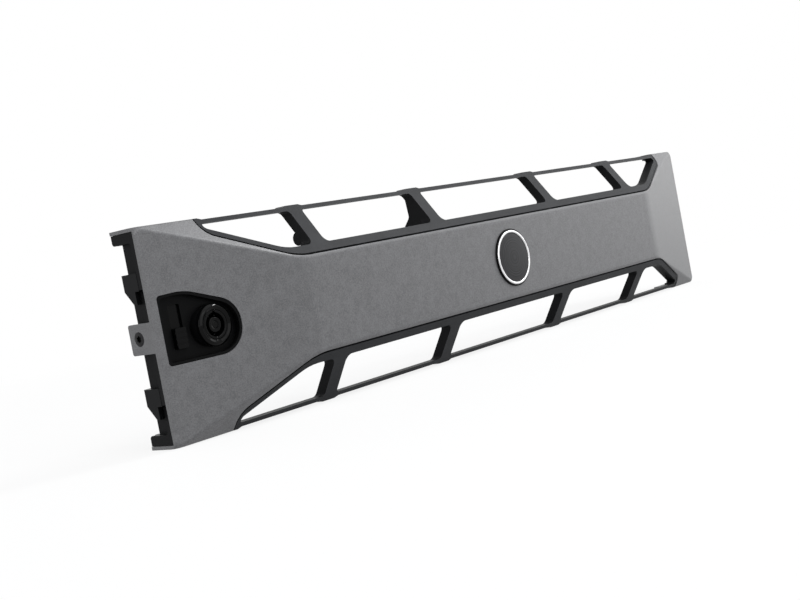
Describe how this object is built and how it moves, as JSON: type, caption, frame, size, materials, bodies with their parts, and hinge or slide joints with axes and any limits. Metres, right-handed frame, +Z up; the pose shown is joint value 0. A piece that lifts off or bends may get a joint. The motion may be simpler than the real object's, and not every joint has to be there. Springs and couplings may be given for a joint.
{
  "type": "server front bezel",
  "caption": "Low, wide front bezel for a rack server: hipped grey cover on a black windowed frame, with a key lock, a thumb slider and spring-held latch hooks at its left end.",
  "frame": {"origin": "on the chassis plane that the bezel's rear edges meet, at the middle of the bezel's width and level with its lower edge", "axes": "+X to the right seen from the front, +Y to the rear into the chassis, +Z up"},
  "size_m": [0.443, 0.032, 0.0858],
  "materials": {
    "cover_paint": "satin metallic grey paint with a fine grain",
    "frame_plastic": "fine-textured black moulding",
    "recess_plastic": "satin black moulding",
    "lock_case": "gloss black lacquer",
    "lock_core": "gloss black plated die casting",
    "slider_plastic": "satin black moulding",
    "latch_plastic": "black moulding",
    "badge_face": "dark grey, bare",
    "badge_rim": "satin bright ring",
    "plated_steel": "zinc plated",
    "black_screw": "black oxide",
    "spring_wire": "drawn wire"
  },
  "bodies": {
    "bezel": {"front_cover": "cover_paint", "inner_frame": "frame_plastic", "lock_escutcheon": "recess_plastic", "lock_housing": "lock_case", "lock_washer": "plated_steel", "lock_nut": "plated_steel", "latch_retainer_upper": "latch_plastic", "latch_retainer_lower": "latch_plastic", "latch_spring": "spring_wire", "cover_screws": "plated_steel", "retainer_screws": "plated_steel", "tab_screw": "black_screw", "badge_disc": "badge_face", "badge_ring": "badge_rim", "badge_push_nut": "plated_steel"},
    "latch": {"release_slider": "slider_plastic", "latch_bar": "latch_plastic", "slider_screw": "plated_steel"},
    "lock": {"lock_plug": "lock_core", "lock_pin": "lock_core", "lock_cam": "plated_steel", "cam_screw": "plated_steel"}
  },
  "joints": [
    {"name": "latch_lift", "type": "slide", "parent": "bezel", "child": "latch", "axis": [0, 0, 1], "range_m": [0, 0.006], "stiffness_N_per_m": 150, "springref_m": -0.004, "deforming": ["latch_spring"]},
    {"name": "lock_turn", "type": "hinge", "parent": "bezel", "child": "lock", "pos_m": [-0.1931, -0.01, 0.0433], "axis": [0, 1, 0], "range_deg": [0, 90]}
  ]
}
